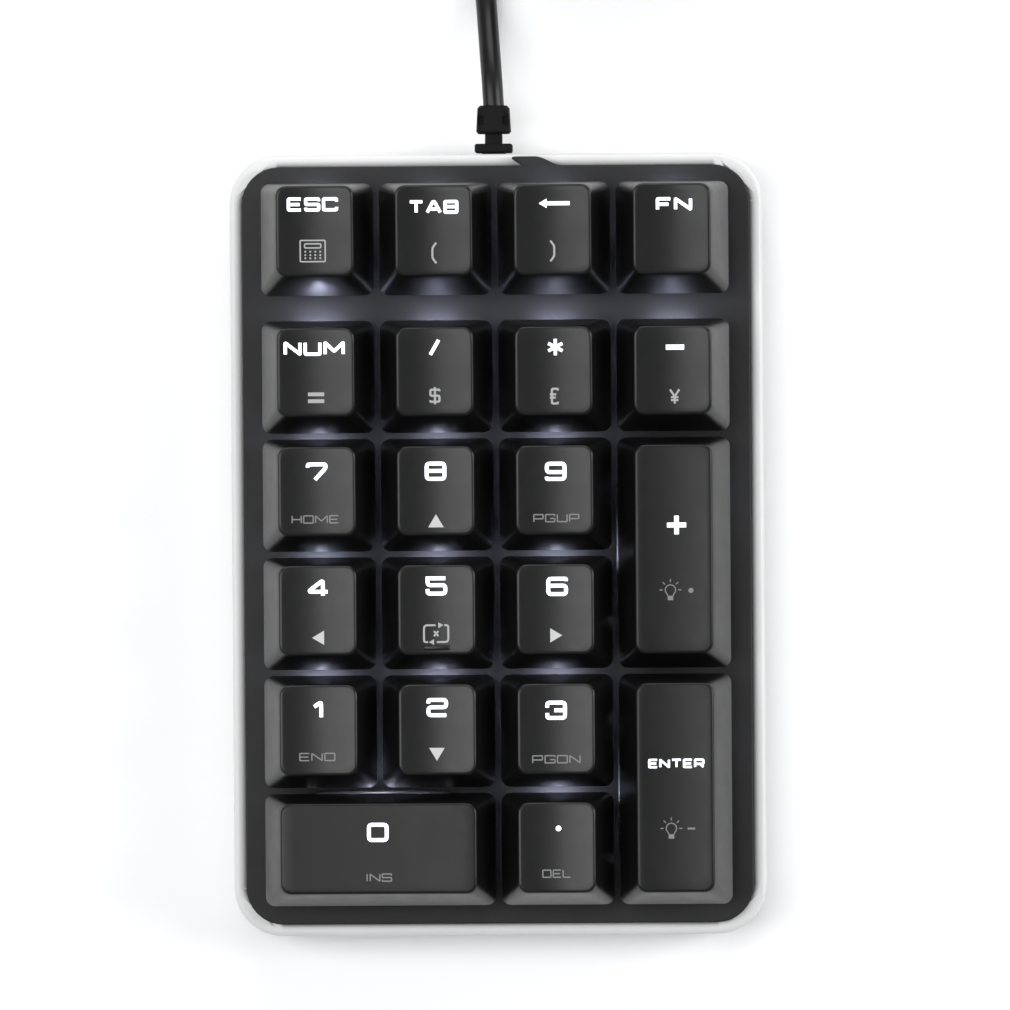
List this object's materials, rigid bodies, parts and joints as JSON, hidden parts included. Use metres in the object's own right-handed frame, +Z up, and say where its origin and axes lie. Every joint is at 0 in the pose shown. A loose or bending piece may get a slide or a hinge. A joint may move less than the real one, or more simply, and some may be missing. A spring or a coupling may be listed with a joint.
{
  "type": "numeric keypad",
  "caption": "Backlit mechanical numeric keypad: floating keycaps on a black top panel over a white lower case, with a rear USB lead.",
  "frame": {"origin": "on the surface that the keypad stands on, under the middle of the case", "axes": "+Z up, +X to the right as typed on, +Y to the rear edge where the lead leaves"},
  "size_m": [0.1344, 0.2133, 0.0315],
  "materials": {
    "white_case": "satin white moulded plastic",
    "black_panel": "fine matt black",
    "cap": "soft matt black with a fine grain",
    "legend": "clear window lit from below",
    "switch_shell": "moulded nylon",
    "steel": "zinc plated",
    "plated_steel": "bright nickel plate",
    "board": "green solder mask",
    "rubber": "matt rubber",
    "lead": "satin black vinyl"
  },
  "bodies": {
    "base": {"bottom_case": "white_case", "top_panel": "black_panel", "circuit_board": "board", "switch_esc": "switch_shell", "switch_tab": "switch_shell", "switch_backspace": "switch_shell", "switch_fn": "switch_shell", "switch_num": "switch_shell", "switch_divide": "switch_shell", "switch_multiply": "switch_shell", "switch_minus": "switch_shell", "switch_7": "switch_shell", "switch_8": "switch_shell", "switch_9": "switch_shell", "switch_plus": "switch_shell", "switch_4": "switch_shell", "switch_5": "switch_shell", "switch_6": "switch_shell", "switch_1": "switch_shell", "switch_2": "switch_shell", "switch_3": "switch_shell", "switch_enter": "switch_shell", "switch_0": "switch_shell", "switch_decimal": "switch_shell", "screw_1": "steel", "screw_2": "steel", "screw_3": "steel", "screw_4": "steel", "foot_front": "rubber", "foot_rear": "rubber", "strain_relief": "lead", "cord": "lead", "cord_coil": "lead", "cord_tie": "rubber", "plug_body": "lead", "plug_shell": "plated_steel"},
    "key_esc": {"keycap_esc": "cap"},
    "key_tab": {"keycap_tab": "cap"},
    "key_backspace": {"keycap_backspace": "cap"},
    "key_fn": {"keycap_fn": "cap"},
    "key_num": {"keycap_num": "cap"},
    "key_divide": {"keycap_divide": "cap"},
    "key_multiply": {"keycap_multiply": "cap"},
    "key_minus": {"keycap_minus": "cap"},
    "key_7": {"keycap_7": "cap"},
    "key_8": {"keycap_8": "cap"},
    "key_9": {"keycap_9": "cap"},
    "key_plus": {"keycap_plus": "cap"},
    "key_4": {"keycap_4": "cap"},
    "key_5": {"keycap_5": "cap"},
    "key_6": {"keycap_6": "cap"},
    "key_1": {"keycap_1": "cap"},
    "key_2": {"keycap_2": "cap"},
    "key_3": {"keycap_3": "cap"},
    "key_enter": {"keycap_enter": "cap"},
    "key_0": {"keycap_0": "cap"},
    "key_decimal": {"keycap_decimal": "cap"},
    "wire_plus": {"stabiliser_wire_plus": "steel"},
    "wire_enter": {"stabiliser_wire_enter": "steel"},
    "wire_0": {"stabiliser_wire_0": "steel"}
  },
  "joints": [
    {"name": "press_esc", "type": "slide", "parent": "base", "child": "key_esc", "axis": [0, 0, -1], "range_m": [0, 0.004], "stiffness_N_per_m": 75, "springref_m": -0.005},
    {"name": "press_tab", "type": "slide", "parent": "base", "child": "key_tab", "axis": [0, 0, -1], "range_m": [0, 0.004], "stiffness_N_per_m": 75, "springref_m": -0.005},
    {"name": "press_backspace", "type": "slide", "parent": "base", "child": "key_backspace", "axis": [0, 0, -1], "range_m": [0, 0.004], "stiffness_N_per_m": 75, "springref_m": -0.005},
    {"name": "press_fn", "type": "slide", "parent": "base", "child": "key_fn", "axis": [0, 0, -1], "range_m": [0, 0.004], "stiffness_N_per_m": 75, "springref_m": -0.005},
    {"name": "press_num", "type": "slide", "parent": "base", "child": "key_num", "axis": [0, 0, -1], "range_m": [0, 0.004], "stiffness_N_per_m": 75, "springref_m": -0.005},
    {"name": "press_divide", "type": "slide", "parent": "base", "child": "key_divide", "axis": [0, 0, -1], "range_m": [0, 0.004], "stiffness_N_per_m": 75, "springref_m": -0.005},
    {"name": "press_multiply", "type": "slide", "parent": "base", "child": "key_multiply", "axis": [0, 0, -1], "range_m": [0, 0.004], "stiffness_N_per_m": 75, "springref_m": -0.005},
    {"name": "press_minus", "type": "slide", "parent": "base", "child": "key_minus", "axis": [0, 0, -1], "range_m": [0, 0.004], "stiffness_N_per_m": 75, "springref_m": -0.005},
    {"name": "press_7", "type": "slide", "parent": "base", "child": "key_7", "axis": [0, 0, -1], "range_m": [0, 0.004], "stiffness_N_per_m": 75, "springref_m": -0.005},
    {"name": "press_8", "type": "slide", "parent": "base", "child": "key_8", "axis": [0, 0, -1], "range_m": [0, 0.004], "stiffness_N_per_m": 75, "springref_m": -0.005},
    {"name": "press_9", "type": "slide", "parent": "base", "child": "key_9", "axis": [0, 0, -1], "range_m": [0, 0.004], "stiffness_N_per_m": 75, "springref_m": -0.005},
    {"name": "press_plus", "type": "slide", "parent": "base", "child": "key_plus", "axis": [0, 0, -1], "range_m": [0, 0.004], "stiffness_N_per_m": 75, "springref_m": -0.005},
    {"name": "press_4", "type": "slide", "parent": "base", "child": "key_4", "axis": [0, 0, -1], "range_m": [0, 0.004], "stiffness_N_per_m": 75, "springref_m": -0.005},
    {"name": "press_5", "type": "slide", "parent": "base", "child": "key_5", "axis": [0, 0, -1], "range_m": [0, 0.004], "stiffness_N_per_m": 75, "springref_m": -0.005},
    {"name": "press_6", "type": "slide", "parent": "base", "child": "key_6", "axis": [0, 0, -1], "range_m": [0, 0.004], "stiffness_N_per_m": 75, "springref_m": -0.005},
    {"name": "press_1", "type": "slide", "parent": "base", "child": "key_1", "axis": [0, 0, -1], "range_m": [0, 0.004], "stiffness_N_per_m": 75, "springref_m": -0.005},
    {"name": "press_2", "type": "slide", "parent": "base", "child": "key_2", "axis": [0, 0, -1], "range_m": [0, 0.004], "stiffness_N_per_m": 75, "springref_m": -0.005},
    {"name": "press_3", "type": "slide", "parent": "base", "child": "key_3", "axis": [0, 0, -1], "range_m": [0, 0.004], "stiffness_N_per_m": 75, "springref_m": -0.005},
    {"name": "press_enter", "type": "slide", "parent": "base", "child": "key_enter", "axis": [0, 0, -1], "range_m": [0, 0.004], "stiffness_N_per_m": 75, "springref_m": -0.005},
    {"name": "press_0", "type": "slide", "parent": "base", "child": "key_0", "axis": [0, 0, -1], "range_m": [0, 0.004], "stiffness_N_per_m": 75, "springref_m": -0.005},
    {"name": "press_decimal", "type": "slide", "parent": "base", "child": "key_decimal", "axis": [0, 0, -1], "range_m": [0, 0.004], "stiffness_N_per_m": 75, "springref_m": -0.005},
    {"name": "wire_turn_plus", "type": "hinge", "parent": "base", "child": "wire_plus", "pos_m": [0.01997, -0.00125, 0.0152], "axis": [0, 1, 0], "range_deg": [0, 35]},
    {"name": "wire_turn_enter", "type": "hinge", "parent": "base", "child": "wire_enter", "pos_m": [0.01997, -0.03935, 0.0152], "axis": [0, 1, 0], "range_deg": [0, 35]},
    {"name": "wire_turn_0", "type": "hinge", "parent": "base", "child": "wire_0", "pos_m": [-0.01905, -0.04027, 0.0152], "axis": [1, 0, 0], "range_deg": [0, 35]}
  ],
  "couplings": [
    {"joint": "wire_turn_plus", "follows": "press_plus", "rad_per_m": 148.35},
    {"joint": "wire_turn_enter", "follows": "press_enter", "rad_per_m": 148.35},
    {"joint": "wire_turn_0", "follows": "press_0", "rad_per_m": 148.35}
  ]
}
